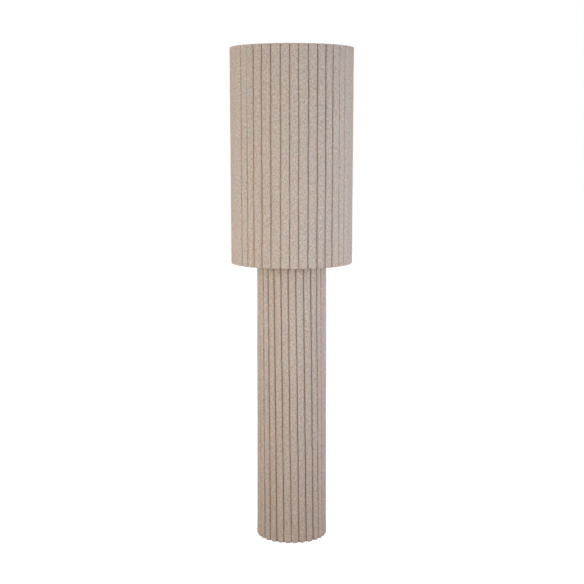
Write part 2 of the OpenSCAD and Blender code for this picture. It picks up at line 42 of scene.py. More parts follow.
white = (1, 1, 1, 1)


view = {
    "eye": (0.001, -3.477, 1.2375),
    "lookDown": 7.74,        # degrees
    "lens": 70.34,           # mm
    "sensor": 36,            # mm, square
    "sees": 60,              # how far, m
}

camera = bpy.data.cameras.new("lampView")
camera.sensor_width = view["sensor"]
camera.lens = view["lens"]
camera.clip_end = view["sees"]
eye = bpy.data.objects.new("lampView", camera)
eye.location = view["eye"]
eye.rotation_euler = (math.radians(90 - view["lookDown"]), 0, 0)
scene.collection.objects.link(eye)
scene.camera = eye
scene.view_settings.view_transform = "Standard"

# two tall softboxes to the sides, the right one cooler, a weak one in front, one behind,
# and four small ones overhead that reach only the inside of the shade
aimHeight = 0.95             # where on the lamp they point
gridSpread = 110             # degrees, so the foot gets less than the shade
smallBox = {"size": (0.12, 0.12), "watts": 0.045, "tint": (1.0, 1.0, 1.0), "spread": 12, "aim": 1.42}
softboxes = {
    "leftBox": {"at": (-1.78, -1.15, 0.92), "size": (1.1, 1.2), "watts": 10.4,
                "tint": (1.0, 1.0, 0.955)},
    "rightBox": {"at": (1.78, -1.15, 0.92), "size": (1.1, 1.2), "watts": 11.6,
                 "tint": (0.82, 0.905, 1.0)},
    "frontBox": {"at": (0.0, -2.6, 1.3), "size": (1.1, 1.2), "watts": 2.4,
                 "tint": (1.0, 1.0, 0.95)},
    "backBox": {"at": (0.0, 2.3, 1.1), "size": (0.9, 1.6), "watts": 15,
                "tint": (1.0, 0.99, 0.98)},
    "overBox": {"at": (0.0, 0.0, 3.1), "size": (0.22, 0.22), "watts": 0.02,
                "tint": (1.0, 1.0, 1.0), "spread": 9},
    "overBackBox": dict(smallBox, at=(0.0, 0.85, 3.1)),
    "overLeftBox": dict(smallBox, at=(-0.736, -0.425, 3.1)),
    "overRightBox": dict(smallBox, at=(0.736, -0.425, 3.1)),
}


def hangSoftbox(name, box):
    lamp = bpy.data.lights.new(name, "AREA")
    lamp.shape = "RECTANGLE"
    lamp.size, lamp.size_y = box["size"]
    lamp.energy = box["watts"]
    lamp.spread = math.radians(box.get("spread", gridSpread))
    lamp.color = box["tint"]
    ob = bpy.data.objects.new(name, lamp)
    ob.location = box["at"]
    aim = Vector((0, 0, box.get("aim", aimHeight))) - Vector(box["at"])
    ob.rotation_euler = aim.to_track_quat("-Z", "Y").to_euler()
    ob.visible_camera = False
    scene.collection.objects.link(ob)


for name, box in softboxes.items():
    hangSoftbox(name, box)


def feed(tree, node, inputs):
    # each input takes a number, a colour, another node's socket or its first output
    for key, value in inputs.items():
        if isinstance(value, bpy.types.Node):
            value = value.outputs[0]
        if isinstance(value, bpy.types.NodeSocket):
            tree.links.new(value, node.inputs[key])
        else:
            node.inputs[key].default_value = value


def put(tree, kind, inputs=None, **settings):
    node = tree.nodes.new("ShaderNode" + kind)
    for key, value in settings.items():
        setattr(node, key, value)
    feed(tree, node, inputs or {})
    return node


def calc(tree, operation, a, b=0.0):
    return put(tree, "Math", {0: a, 1: b}, operation=operation).outputs[0]


def mix(tree, share, a, b, way="MIX"):
    # sockets 6 and 7 are the two colours, output 2 the colour that comes out
    return put(tree, "Mix", {0: share, 6: a, 7: b}, data_type="RGBA", blend_type=way).outputs[2]


def ramp(tree, value, stops):
    node = put(tree, "ValToRGB", {"Fac": value})
    elements = node.color_ramp.elements
    while len(elements) < len(stops):
        elements.new(0.5)
    for element, (place, colour) in zip(elements, stops):
        element.position = place
        element.color = colour
    return node.outputs["Color"]


def stretched(tree, source, scale):
    return put(tree, "Mapping", {"Vector": source, "Scale": scale}).outputs[0]


def mottle(tree, source, scale, detail, rough):
    inputs = {"Vector": source, "Scale": scale, "Detail": detail, "Roughness": rough}
    return put(tree, "TexNoise", inputs).outputs["Fac"]


def seenDirectly(tree):
    # 1 for the camera and for what glass and metal mirror, 0 for the light that falls on things
    rays = put(tree, "LightPath").outputs
    first = calc(tree, "MAXIMUM", rays["Is Camera Ray"], rays["Is Glossy Ray"])
    return calc(tree, "MAXIMUM", first, rays["Is Transmission Ray"])


room = {
    "sideGlow": 0.360,       # soft light from round about
    "topGlow": 0.285,        # less from above
    "topFrom": 0.9,          # how steeply up that is reached, 1 is straight overhead
    "roomTint": (0.955, 0.975, 1.0, 1),
    "floorHalf": 9.0,        # half of the floor's width, m
    "floorTone": (0.48, 0.30, 0.19, 1),  # the warm light that comes back up from it
    "seenGlow": 0.97,        # the floor as it is looked at: its own white
    "seenShade": (0.22, 0.22, 0.22, 1),  # and the part that a shadow takes away
}

world = bpy.data.worlds.new("paleRoom")
scene.world = world
world.use_nodes = True
tree = world.node_tree
tree.nodes.clear()
upward = put(tree, "SeparateXYZ", {0: put(tree, "TexCoord").outputs["Generated"]}).outputs["Z"]
level = put(tree, "MapRange", {"Value": upward, "From Min": 0.0, "From Max": room["topFrom"],
                               "To Min": room["sideGlow"], "To Max": room["topGlow"]})
dim = put(tree, "Background", {"Color": room["roomTint"], "Strength": level})
bright = put(tree, "Background", {"Color": white, "Strength": 1.0})
pick = put(tree, "MixShader", {0: seenDirectly(tree), 1: dim, 2: bright})
put(tree, "OutputWorld", {"Surface": pick})

# pale floor, white where it is looked at, with the lamp's shadow left in it
half = room["floorHalf"]
floorCorners = [(-half, -half, 0), (half, -half, 0), (half, half, 0), (-half, half, 0)]
floorMesh = bpy.data.meshes.new("paleFloor")
floorMesh.from_pydata(floorCorners, [], [(0, 1, 2, 3)])
floor = bpy.data.objects.new("paleFloor", floorMesh)
scene.collection.objects.link(floor)
paint = bpy.data.materials.new("paleFloorPaint")
paint.use_nodes = True
tree = paint.node_tree
tree.nodes.clear()
matt = put(tree, "BsdfDiffuse", {"Color": room["floorTone"]})
glow = put(tree, "Emission", {"Color": white, "Strength": room["seenGlow"]})
shadow = put(tree, "BsdfDiffuse", {"Color": room["seenShade"]})
seen = put(tree, "AddShader", {0: glow, 1: shadow})
choose = put(tree, "MixShader", {0: seenDirectly(tree), 1: matt, 2: seen})
put(tree, "OutputMaterial", {"Surface": choose})
floorMesh.materials.append(paint)
print("view, floor and light are set")


def tone(*rgb):
    # sRGB 0-255 to the linear colour that a node takes
    linear = [c / 255 / 12.92 if c <= 10 else ((c / 255 + 0.055) / 1.055) ** 2.4 for c in rgb]
    return (*linear, 1)


def newLook(name):
    look = bpy.data.materials.new(name)
    look.use_nodes = True
    return look, look.node_tree, look.node_tree.nodes["Principled BSDF"]


oatmeal = {
    "yarn": 1.1,             # width of a yarn, mm
    "nap": 0.45,             # height of the weave, mm
    "darkYarn": tone(152, 134, 120), "shadeYarn": tone(194, 177, 165),
    "yarnTone": tone(219, 205, 195), "lightYarn": tone(238, 226, 218),
    # the last share is for the painted shade in the hollows between the yarns
    "fleckShare": 0.68, "slubShare": 0.45, "cloudShare": 1.0, "tintShare": 0.42, "hollowShadeShare": 0.6,
    "slubTone": (0.55, 0.52, 0.49, 1), "cloudTone": (0.95, 0.95, 0.95, 1),
    "pinkTint": (1.0, 0.87, 0.89, 1), "greenTint": (0.87, 0.965, 0.91, 1),
    "sandTint": (1.0, 0.95, 0.83, 1), "blueTint": (0.90, 0.95, 1.0, 1),
    # the last two tones are painted shade: one for the hollows between the yarns, one for down in the
    # folds and along the rims
    "hollowShadeTone": (0.73, 0.71, 0.70, 1), "foldShadeTint": (1.0, 0.81, 0.63, 1),
    # how often the tone changes in a metre along a warp and a weft yarn, detail, roughness,
    # and where from dark to light each of the four yarn tones lies
    "warpChanges": 70, "weftChanges": 80, "yarnNoise": (3.0, 0.6),
    "yarnSteps": (0.30, 0.42, 0.52, 0.68),
    # patches of the other tones: how many to a metre round the run and up it, detail, roughness
    "flecks": (290, 130, 3.0, 0.7), "slubs": (60, 420, 1.0, 0.4), "clouds": (46, 22, 3.0, 0.6),
    # the last patches here only make the painted shade in the folds and along the rims uneven
    "blushes": (120, 22, 1.0, 0.4), "cools": (95, 17, 1.0, 0.4), "foldShadePatches": (90, 60, 3.0, 0.7),
    "coolShift": (3.7, 1.9, 0),          # takes the cool patches off the blushes
    # how often in a metre the yarns wander, by how much, and how softly one goes over another
    "wanders": 190.0, "wander": 4.0, "overlap": 0.25,
    # what stands up in the weave: the ribs, the tone of the yarn on top, the flecks
    "ribHeight": 0.5, "yarnHeight": 0.8, "fleckHeight": 0.7, "relief": 0.6,
    "roughness": 0.92, "sheen": 0.15, "sheenRoughness": 0.55, "shine": 0.2,
}
hemCloth = dict(oatmeal, yarn=0.9, darkYarn=tone(124, 108, 92), shadeYarn=tone(160, 143, 126),
                yarnTone=tone(188, 173, 156), lightYarn=tone(210, 198, 184))


def patches(tree, run, size):
    aroundRun, upRun, detail, rough = size
    return mottle(tree, stretched(tree, run, (aroundRun, upRun, 1)), 1.0, detail, rough)


def wovenCloth(name, cloth):
    # uneven heathered yarns in a plain weave, laid out along the cloth's own run in metres
    look, tree, shader = newLook(name)
    run = put(tree, "UVMap", uv_map="clothRun").outputs[0]
    perMetre = 1000 / cloth["yarn"]
    warp = patches(tree, run, (perMetre, cloth["warpChanges"], *cloth["yarnNoise"]))
    weft = patches(tree, run, (cloth["weftChanges"], perMetre, *cloth["yarnNoise"]))
    fleck, slub, cloud, blush, paintedShadeStrength = [patches(tree, run, cloth[kind]) for kind in
                                        ("flecks", "slubs", "clouds", "blushes", "foldShadePatches")]
    elsewhere = put(tree, "VectorMath", {0: run, 1: cloth["coolShift"]}).outputs[0]
    cool = patches(tree, elsewhere, cloth["cools"])

    # over and under: where the two ripples agree a warp yarn lies on top
    place = put(tree, "SeparateXYZ", {0: run}).outputs
    wobble = calc(tree, "MULTIPLY", mottle(tree, run, cloth["wanders"], 2.0, 0.5), cloth["wander"])
    ripple = []
    for k in (0, 1):
        yarns = calc(tree, "MULTIPLY", place[k], math.pi * perMetre)
        ripple.append(calc(tree, "SINE", calc(tree, "ADD", yarns, wobble)))
    crossing = calc(tree, "MULTIPLY", ripple[0], ripple[1])
    overlap = {"Value": crossing, "From Min": -cloth["overlap"], "From Max": cloth["overlap"]}
    onTop = put(tree, "MapRange", overlap, interpolation_type="SMOOTHSTEP").outputs[0]
    rib = calc(tree, "ABSOLUTE", crossing)

    yarnTones = [cloth[kind] for kind in ("darkYarn", "shadeYarn", "yarnTone", "lightYarn")]
    steps = list(zip(cloth["yarnSteps"], yarnTones))
    toned = mix(tree, onTop, ramp(tree, weft, steps), ramp(tree, warp, steps))
    # over the yarns: flecks, dark slubs, clouds, two pairs of tints, and painted shade in the hollows
    # between the yarns
    layers = [
        ("SOFT_LIGHT", cloth["fleckShare"], fleck,
         [(0.28, (0, 0, 0, 1)), (0.5, (0.5, 0.5, 0.5, 1)), (0.70, white)]),
        ("MULTIPLY", cloth["slubShare"], slub, [(0.26, cloth["slubTone"]), (0.34, white)]),
        ("MULTIPLY", cloth["cloudShare"], cloud, [(0.3, cloth["cloudTone"]), (0.7, white)]),
        ("MULTIPLY", cloth["tintShare"], blush, [(0.32, cloth["pinkTint"]), (0.68, cloth["greenTint"])]),
        ("MULTIPLY", cloth["tintShare"], cool, [(0.32, cloth["sandTint"]), (0.68, cloth["blueTint"])]),
        ("MULTIPLY", cloth["hollowShadeShare"], rib, [(0.0, cloth["hollowShadeTone"]), (0.5, white)]),
    ]
    for way, share, value, stops in layers:
        toned = mix(tree, share, toned, ramp(tree, value, stops), way)

    # painted shade: down in a fold and along the rims the cloth is made darker and browner, unevenly so
    paintedShade = put(tree, "Attribute", attribute_name="paintedShade").outputs["Fac"]
    patchy = put(tree, "MapRange", {"Value": paintedShadeStrength, "From Min": 0.32, "From Max": 0.66,
                                    "To Min": 0.1, "To Max": 1.0}).outputs[0]
    foldShaded = mix(tree, 1.0, toned, cloth["foldShadeTint"], "MULTIPLY")
    toned = mix(tree, calc(tree, "MULTIPLY", paintedShade, patchy), toned, foldShaded)

    # the yarns and flecks also stand up a little
    height = calc(tree, "MULTIPLY", rib, cloth["ribHeight"])
    for value, share in ((mix(tree, onTop, weft, warp), "yarnHeight"), (fleck, "fleckHeight")):
        height = calc(tree, "ADD", height, calc(tree, "MULTIPLY", value, cloth[share]))
    bump = put(tree, "Bump", {"Strength": cloth["relief"], "Distance": cloth["nap"] * mm,
                              "Height": height})
    feed(tree, shader, {
        "Base Color": toned, "Normal": bump, "Roughness": cloth["roughness"],
        "Sheen Weight": cloth["sheen"], "Sheen Roughness": cloth["sheenRoughness"],
        "Specular IOR Level": cloth["shine"],
    })
    return look


clothLook = wovenCloth("oatmealFabric", oatmeal)
hemLook = wovenCloth("hemFabric", hemCloth)

# hard finishes: two tones that change over, grain size in mm and its stretch, bump height in mm
finishes = {
    "whiteLiner": {"tones": ((238, 234, 226), (247, 245, 240)), "grain": 14,
                   "stretch": (1, 1, 0.25), "bump": 0.02, "roughness": 0.48},
    "whiteWire": {"tones": ((222, 220, 214), (236, 234, 229)), "grain": 2.2,
                  "bump": 0.05, "roughness": 0.42},
    "whiteEnamel": {"tones": ((224, 221, 214), (236, 234, 228)), "grain": 1.6,
                    "bump": 0.04, "roughness": 0.36},
    "baseIron": {"tones": ((40, 41, 43), (66, 67, 69)), "grain": 3.0,
                 "bump": 0.18, "roughness": 0.62},
    "blackRubber": {"tones": ((30, 30, 31), (46, 46, 47)), "grain": 1.2,
                    "bump": 0.04, "roughness": 0.78},
    "zincSteel": {"tones": ((122, 124, 128), (152, 154, 157)), "grain": 2.5,
                  "stretch": (1, 1, 0.06), "bump": 0.012, "roughness": 0.34, "metal": 1.0},
    "brass": {"tones": ((138, 107, 57), (166, 134, 82)), "grain": 2.0,
              "stretch": (1, 1, 0.1), "bump": 0.012, "roughness": 0.32, "metal": 1.0},
    "blackPhenolic": {"tones": ((24, 23, 22), (38, 36, 35)), "grain": 1.5,
                      "bump": 0.015, "roughness": 0.24},
    "whiteCeramic": {"tones": ((226, 223, 214), (240, 238, 232)), "grain": 3.5,
                     "bump": 0.04, "roughness": 0.22},
    "ivoryNylon": {"tones": ((224, 215, 192), (236, 229, 210)), "grain": 5.0,
                   "bump": 0.02, "roughness": 0.5},
    "opalGlass": {"tones": ((222, 222, 219), (232, 232, 229)), "grain": 18,
                  "bump": 0.01, "roughness": 0.12},
    "nickelSheet": {"tones": ((128, 127, 121), (158, 156, 150)), "grain": 1.8,
                    "stretch": (1, 1, 0.3), "bump": 0.012, "roughness": 0.25, "metal": 1.0},
    "yellowPhosphor": {"tones": ((226, 188, 60), (240, 208, 92)), "grain": 1.0,
                       "bump": 0.02, "roughness": 0.6},
}
grainMix = {
    "grainShare": 0.6, "patchShare": 0.4,    # what each does to the change of tone
    "patchSize": 9,                          # patches, in grains
    "smoother": 0.85, "rougher": 1.18,       # how far the roughness varies
    "relief": 0.6,
}


def hardFinish(name, finish):
    look, tree, shader = newLook(name)
    place = put(tree, "TexCoord").outputs["Object"]
    perMetre = 1000 / finish["grain"]
    drawn = stretched(tree, place, finish.get("stretch", (1, 1, 1)))
    grain = mottle(tree, drawn, perMetre, 3.0, 0.55)
    patch = mottle(tree, place, perMetre / grainMix["patchSize"], 2.0, 0.5)
    both = calc(tree, "ADD", calc(tree, "MULTIPLY", grain, grainMix["grainShare"]),
                calc(tree, "MULTIPLY", patch, grainMix["patchShare"]))
    dark, pale = [tone(*rgb) for rgb in finish["tones"]]
    rough = put(tree, "MapRange", {"Value": grain, "From Min": 0.3, "From Max": 0.7,
                                   "To Min": finish["roughness"] * grainMix["smoother"],
                                   "To Max": min(1, finish["roughness"] * grainMix["rougher"])})
    bump = put(tree, "Bump", {"Strength": grainMix["relief"], "Distance": finish["bump"] * mm,
                              "Height": grain})
    feed(tree, shader, {
        "Base Color": ramp(tree, both, [(0.36, dark), (0.64, pale)]),
        "Roughness": rough, "Normal": bump, "Metallic": finish.get("metal", 0.0),
    })
    return look


looks = {name: hardFinish(name, finish) for name, finish in finishes.items()}
print("materials are mixed")

# which finish each carried-over solid gets
finishOf = {
    "base_plate": "baseIron", "foot_": "blackRubber", "pole_bolt": "zincSteel",
    "pole_washer": "zincSteel", "pole": "zincSteel", "lower_plug": "zincSteel",
    "upper_plug": "zincSteel", "threaded_tube": "brass", "column_lower_ring": "whiteWire",
    "column_upper_ring": "whiteWire", "column_strut_": "whiteWire", "column_liner": "whiteLiner",
    "column_cap": "whiteEnamel", "cable_grommet": "blackRubber", "spigot": "whiteEnamel",
    "stem_tube": "brass", "holder_dome": "blackPhenolic", "holder_skirt": "blackPhenolic",
    "holder_insert": "whiteCeramic", "holder_shell": "brass", "holder_contact": "brass",
    "slip_washer": "ivoryNylon", "carrier_ring": "whiteWire", "carrier_arm_": "whiteWire",
    "shade_lower_ring": "whiteWire", "shade_upper_ring": "whiteWire", "shade_strut_": "whiteWire",
    "shade_liner": "whiteLiner", "bulb_glass": "opalGlass", "bulb_screw": "nickelSheet",
    "bulb_insulator": "blackPhenolic", "bulb_contact": "zincSteel", "bulb_post": "whiteCeramic",
    "bulb_strips": "yellowPhosphor",
}


def dress(node, look):
    for slot in node.material_slots:
        slot.link = "OBJECT"
        slot.material = look


for name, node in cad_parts.items():
    key = name if name in finishOf else name.rstrip("0123456789")
    if key in finishOf:
        dress(node, looks[finishOf[key]])
print("solids are painted")


# both covers: sizes in mm, angles in degrees, folds counted from the front round by the right
shadeCloth = {
    "foot": 856.4, "top": 1501.2,
    "footR": 184.6, "topR": 185.7,           # over the pleats
    "innerFoot": 177.3, "innerTop": 178.3,   # where the turned-in rims end
    "pleats": 42,
    "depth": 5.5,            # from a fold's bottom to a pleat's middle
    "foldAngle": -91.85,     # where the first fold stands at the foot
    "lean": 0.0,             # how far the folds turn from foot to top
    "gap": 0.9,              # half of the open fold between two pleats
    "roll": 6.0,             # how wide a pleat's edge rounds off
    "drop": 3.5,             # and how deep
    "bulge": 0.9,            # how far the cloth stands up in a fold's bottom
    "under": 0.7,            # height of the cloth's return under a pleat
    "tuck": 3.4,             # how far the return goes in
    "crown": 0.4,            # how far a pleat's middle stands out from its edges
    "paintedShadeStrength": 0.8,            # how strong the painted shade is down in a fold
    "rimPaintedShade": 0.6,         # and along its rims
    # each end rounds in over a rise and stands back at the folds, and the foot flares out
    "footRise": 2.4, "footRound": 2.2, "footNotch": 1.6, "footFlare": 0.0,
    "topRise": 0.8, "topRound": 0.6, "topNotch": 0.9,
    # unevenness: of a fold's angle, of its way up, of its width, of a pleat's face
    "wander": 0.30, "sway": 0.34, "pinch": 0.48, "puff": 0.40, "seed": 5,
    # folds that stand wider open or nearly closed, at the foot and at the top
    "open": {34: (0.4, 0.4), 35: (0.25, 0.25), 36: (1.5, 1.7), 37: (1.3, 0.25), 38: (1.5, 1.6),
             39: (1.2, 1.6), 1: (1.0, 1.15), 6: (1.4, 1.3), 7: (1.3, 1.2), 8: (0.4, 0.4),
             9: (0.3, 0.3), 10: (0.3, 0.3), 11: (0.3, 0.3)},
    # folds that are less deep, and the turn of those in front
    "shallow": {36: 0.75, 37: 0.7, 38: 0.8, 39: 0.85, 6: 0.5, 7: 0.5},
    "nudges": {0: 0.01, 1: -0.55, 2: -0.22, 3: -0.2, 4: -0.22, 5: -0.6, 6: -0.72, 7: -0.84,
               35: -0.68, 36: -0.14, 37: 0.01, 38: -0.52, 39: -0.34, 40: -0.09, 41: 0.34},
}
columnCloth = {
    "foot": 0.3, "top": 897.7,
    "footR": 108.5, "topR": 105.5,
    "innerFoot": 101.6, "innerTop": 98.6,
    "pleats": 29, "depth": 5.0, "foldAngle": -90.35, "lean": -5.785,
    "gap": 1.25, "roll": 3.6, "drop": 3.5, "bulge": 0.4, "under": 0.65, "tuck": 3.2, "crown": 0.6,
    # how strong the painted shade is down in the folds and along the rims
    "paintedShadeStrength": 1.0, "rimPaintedShade": 1.0,
    "footRise": 6.0, "footRound": 1.8, "footNotch": 7.6, "footFlare": 0.9,
    "topRise": 3.0, "topRound": 2.4, "topNotch": 1.0,
    "wander": 0.35, "sway": 0.45, "pinch": 0.42, "puff": 0.50, "seed": 9,
    "open": {}, "shallow": {},
    "nudges": {0: -0.21, 1: -0.02, 2: 0.28, 3: 1.26, 4: 1.54, 5: 0.88,
               24: -0.36, 25: -0.29, 26: 0.36, 27: 0.23, 28: 0.01},
}
pleating = {
    "rowStep": 12.0,                         # between the rows in the middle
    "rowClear": 2,                           # from those to closer rows round a hole
    "bendTurns": (0, 25, 45, 65, 90),        # rows where an end rounds off, degrees
    "nearRows": (2.5, 6, 11),                # and just after, mm further on
    "rollTurns": (0, 18, 36, 52, 66, 78),    # points where a pleat's edge rounds off, degrees
    "notchHeight": 14.0,     # how far from a rim it still shows that the end stands back
    "cornerShare": 0.42,     # how much of a pleat its rounded corner takes
    "rollPaintedShade": 0.85,       # how much painted shade the foot of a pleat's rounded edge gets
    "rollFade": 1.3,         # and how fast that fades upwards
    "flareHeight": 60,       # how far up the foot's flare goes
    "rimHeight": 3.2,        # how far from a rim the painted shade reaches
    "turnShare": 0.55,       # how far in the rim's own row lies, between cloth and hem
    "turnLift": 0.5,         # how much of the pleats' rounded corners that row still has
    "turnPaintedShade": 0.6,        # the least painted shade on the turned-in rim
    "lipHeight": 0.9,        # how far the turned-in edge goes back up
    "foldUneven": 1.7,       # sets a pleat's face apart from its fold in the noise
    # how far up a sway, a pinch or a puff reaches, and its own layer of the noise
    "sway": (80, 1.5), "pinch": (38, 7.0), "puff": (60, 3.0),
}


def halfPleat(c):
    # half of a pleat's section, from the middle of the fold to the middle of the pleat: along the
    # bottom of the gap, in and back under the pleat's edge, up its roll and over its face.
    # Each point has its part, how far along, height over the fold's bottom, and how much painted shade
    # it gets down in the fold
    tuck, under, bulge, crown = c["tuck"], c["under"], c["bulge"], c["crown"]
    flat = c["depth"] - crown
    points = [
        ("gap", 0.0, bulge, 1.0), ("gap", 0.5, 0.9 * bulge, 1.0),
        ("edge", tuck - 0.9, 0.05, 1.0), ("edge", tuck - 0.2, 0.3 * under, 1.0),
        ("edge", tuck - 0.35, 0.75 * under, 1.0), ("edge", 0.75, under, 1.0),
        ("edge", 0.12, under + 0.22, 1.0),
    ]
    for turn in pleating["rollTurns"]:
        a = math.radians(turn)
        left = 1 - math.sin(a)
        along = c["roll"] * (1 - math.cos(a))
        rollShadeAmount = pleating["rollPaintedShade"] * left ** pleating["rollFade"]
        points.append(("roll", along, flat - c["drop"] * left, rollShadeAmount))
    points += [("face", 0.06, flat, 0.0), ("face", 0.25, flat + 0.45 * crown, 0.0)]
    points += [("face", 0.6, flat + 0.85 * crown, 0.0), ("face", 1.0, c["depth"], 0.0)]
    return points


def clothRows(c, extra):
    # heights of the rows, close together where the ends round off
    bend = [1 - math.cos(math.radians(a)) for a in pleating["bendTurns"]]
    near = pleating["nearRows"]
    low = [c["foot"] + c["footRise"] * b for b in bend] + [c["foot"] + c["footRise"] + d for d in near]
    high = [c["top"] - c["topRise"] * b for b in bend] + [c["top"] - c["topRise"] - d for d in near]
    count = round((high[-1] - low[-1]) / pleating["rowStep"])
    middle = [low[-1] + (high[-1] - low[-1]) * i / count for i in range(1, count)]
    if extra:
        lowest, highest = extra[0] - pleating["rowClear"], extra[-1] + pleating["rowClear"]
        middle = [z for z in middle if not lowest < z < highest]
    return sorted(low + high + middle + extra)


def foldLines(c):
    # the angle of each fold at the foot, in degrees, none quite evenly spaced
    rnd = random.Random(c["seed"])
    step = 360 / c["pleats"]
    lines = []
    for i in range(c["pleats"]):
        chance = rnd.uniform(-c["wander"], c["wander"])
        lines.append({
            "angle": c["foldAngle"] + step * i + c["nudges"].get(i, chance),
            "own": rnd.uniform(0, 90),
            "open": c["open"].get(i, (1.0, 1.0)),
            "deep": c["shallow"].get(i, 1.0),
        })
    lines.append(dict(lines[0], angle=lines[0]["angle"] + 360))
    return lines


def uneven(c, kind, own, z):
    reach, layer = pleating[kind]
    return c[kind] * noise.noise(Vector((own, z / reach, layer)))


def foldAt(c, line, z, t):
    # a fold at one height: its angle, half its gap, how wide open and how deep it is
    foot, top = line["open"]
    wider = foot + (top - foot) * t
    pinched = 1 + 2 * uneven(c, "pinch", line["own"], z)
    return {"angle": line["angle"] + uneven(c, "sway", line["own"], z), "own": line["own"],
            "gap": c["gap"] * wider * pinched, "wider": wider, "deep": line["deep"]}


def quarterRound(x):
    # from 0 to 1 along a quarter of a circle
    return 1 - math.sqrt(max(0.0, 1 - x * x))


def clothObject(name, verts, faces, look, run=None):
    mesh = bpy.data.meshes.new(name)
    mesh.from_pydata(verts, [], faces)
    if run:
        layer = mesh.uv_layers.new(name="clothRun")
        layer.uv.foreach_set("vector", [x for corner in run for x in corner])
    mesh.polygons.foreach_set("use_smooth", [True] * len(faces))
    mesh.materials.append(look)
    ob = bpy.data.objects.new(name, mesh)
    scene.collection.objects.link(ob)
    return ob


def pleatCloth(name, c, extra=()):
    lines = foldLines(c)
    half = halfPleat(c)
    flat = c["depth"] - c["crown"]
    section = [(1, p) for p in half] + [(-1, p) for p in half[-2:0:-1]]
    across = len(section) * c["pleats"]
    # the rims are turned in to the hem strips, before the first row and after the last
    plan = [("lip", c["foot"]), ("turn", c["foot"])]
    plan += [("row", z) for z in clothRows(c, list(extra))]
    plan += [("turn", c["top"]), ("lip", c["top"])]
    turnShare = pleating["turnShare"]

    spots, run, deep = [], [], []
    for kind, z in plan:
        t = (z - c["foot"]) / (c["top"] - c["foot"])
        end, up = ("foot", 1) if t < 0.5 else ("top", -1)
        away = min(z - c["foot"], c["top"] - z)
        flare = c["footFlare"] * max(0.0, 1 - (z - c["foot"]) / pleating["flareHeight"])
        crest = c["footR"] + (c["topR"] - c["footR"]) * t + flare
        inner = c["innerFoot"] + (c["innerTop"] - c["innerFoot"]) * t
        drawn = c[end + "Round"] * quarterRound(max(0.0, 1 - away / c[end + "Rise"]))
        notch = c[end + "Notch"] * max(0.0, 1 - away / pleating["notchHeight"]) ** 2
        # painted shade near each rim, and at least some on the turned-in rows
        rim = c["rimPaintedShade"] * max(0.0, 1 - away / pleating["rimHeight"])
        if kind != "row":
            rim = max(pleating["turnPaintedShade"], rim)
        folds = [foldAt(c, line, z, t) for line in lines]
        length, last = 0.0, None
        for a, b in zip(folds, folds[1:]):
            start = math.radians(a["angle"] + c["lean"] * t)
            wide = math.radians(b["angle"] - a["angle"]) * crest
            puff = uneven(c, "puff", a["own"] * pleating["foldUneven"], z)
            for side, (part, d, v, paintedShade) in section:
                # u is how far the point is from its fold, v how high over the fold's bottom
                fold = a if side > 0 else b
                gap, wider = fold["gap"], fold["wider"]
                if part == "face":
                    edge = c["roll"] * wider
                    u = gap + edge + (wide / 2 - gap - edge) * d
                    v += puff * math.sin(math.pi / 2 * d)
                else:
                    u = gap * d if part == "gap" else gap + d * wider
                    v = flat - (flat - v) * fold["deep"]
                if part == "roll":
                    v = flat - (flat - v) * min(1.0, wider)
                    paintedShade *= min(1.0, wider)
                # the corners of a pleat's end are rounded, up beside the folds
                corner = 1.0
                if part != "gap":
                    corner = max(0.0, 1 - (u - gap) / (wide * pleating["cornerShare"]))
                lifted = notch * quarterRound(corner)
                angle = start + (u if side > 0 else wide - u) / crest
                r = crest - c["depth"] + v * (1 - drawn / c["depth"])
                height = laid = z + up * lifted
                if kind == "turn":
                    laid = z - up * (r - inner) * turnShare
                    r, height = r + (inner - r) * turnShare, z + up * lifted * pleating["turnLift"]
                elif kind == "lip":
                    laid = z - up * (r - inner)
                    r, height = inner, z + up * pleating["lipHeight"]
                spot = Vector((r * math.cos(angle), r * math.sin(angle), height))
                if last is not None:
                    length += (spot.xy - last.xy).length
                last = spot
                spots.append(spot * mm)
                run.append((length * mm, laid * mm))
                # each point's painted shade: down in the folds, and near and on the turned-in rims
                deep.append((max(paintedShade, rim) if kind == "row" else rim) * c["paintedShadeStrength"])
        length += (spots[-across].xy / mm - last.xy).length
        run.append((length * mm, run[-across][1]))

    faces, corners = [], []
    width = across + 1
    for k in range(len(plan) - 1):
        here, above = k * across, (k + 1) * across
        runHere, runAbove = k * width, (k + 1) * width
        for j in range(across):
            n = (j + 1) % across
            faces.append((here + j, here + n, above + n, above + j))
            corners += [run[runHere + j], run[runHere + j + 1], run[runAbove + j + 1], run[runAbove + j]]
    ob = clothObject(name, [tuple(spot) for spot in spots], faces, clothLook, corners)
    ob.data.attributes.new("paintedShade", "FLOAT", "POINT").data.foreach_set("value", deep)
    around = run[len(plan) // 2 * width + across][0]
    print(name, "is", round(around, 3), "m round its folds,", len(faces), "faces")
    return ob


def cutRound(ob, z, radius):
    # opens a round hole towards the back, for the grommet
    bm = bmesh.new()
    bm.from_mesh(ob.data)
    gone = [v for v in bm.verts if v.co.y > 0 and math.hypot(v.co.x, v.co.z - z) < radius]
    bmesh.ops.delete(bm, geom=gone, context="VERTS")
    bm.to_mesh(ob.data)
    bm.free()


shadeCover = pleatCloth("shadeCloth", shadeCloth)
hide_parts("shade_cover")
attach(shadeCover, "shade")

# the cable's way out, mm, with closer rows of cloth above and below it
inlet = {"z": 62, "radius": 5.7, "rowStep": 1.25, "rowsEachWay": 8}
inletRows = [inlet["z"] + inlet["rowStep"] * i
             for i in range(-inlet["rowsEachWay"], inlet["rowsEachWay"] + 1)]
columnCover = pleatCloth("columnCloth", columnCloth, inletRows)
cutRound(columnCover, inlet["z"] * mm, inlet["radius"] * mm)
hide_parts("column_cover")
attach(columnCover, "stand")
print("both covers are pleated")


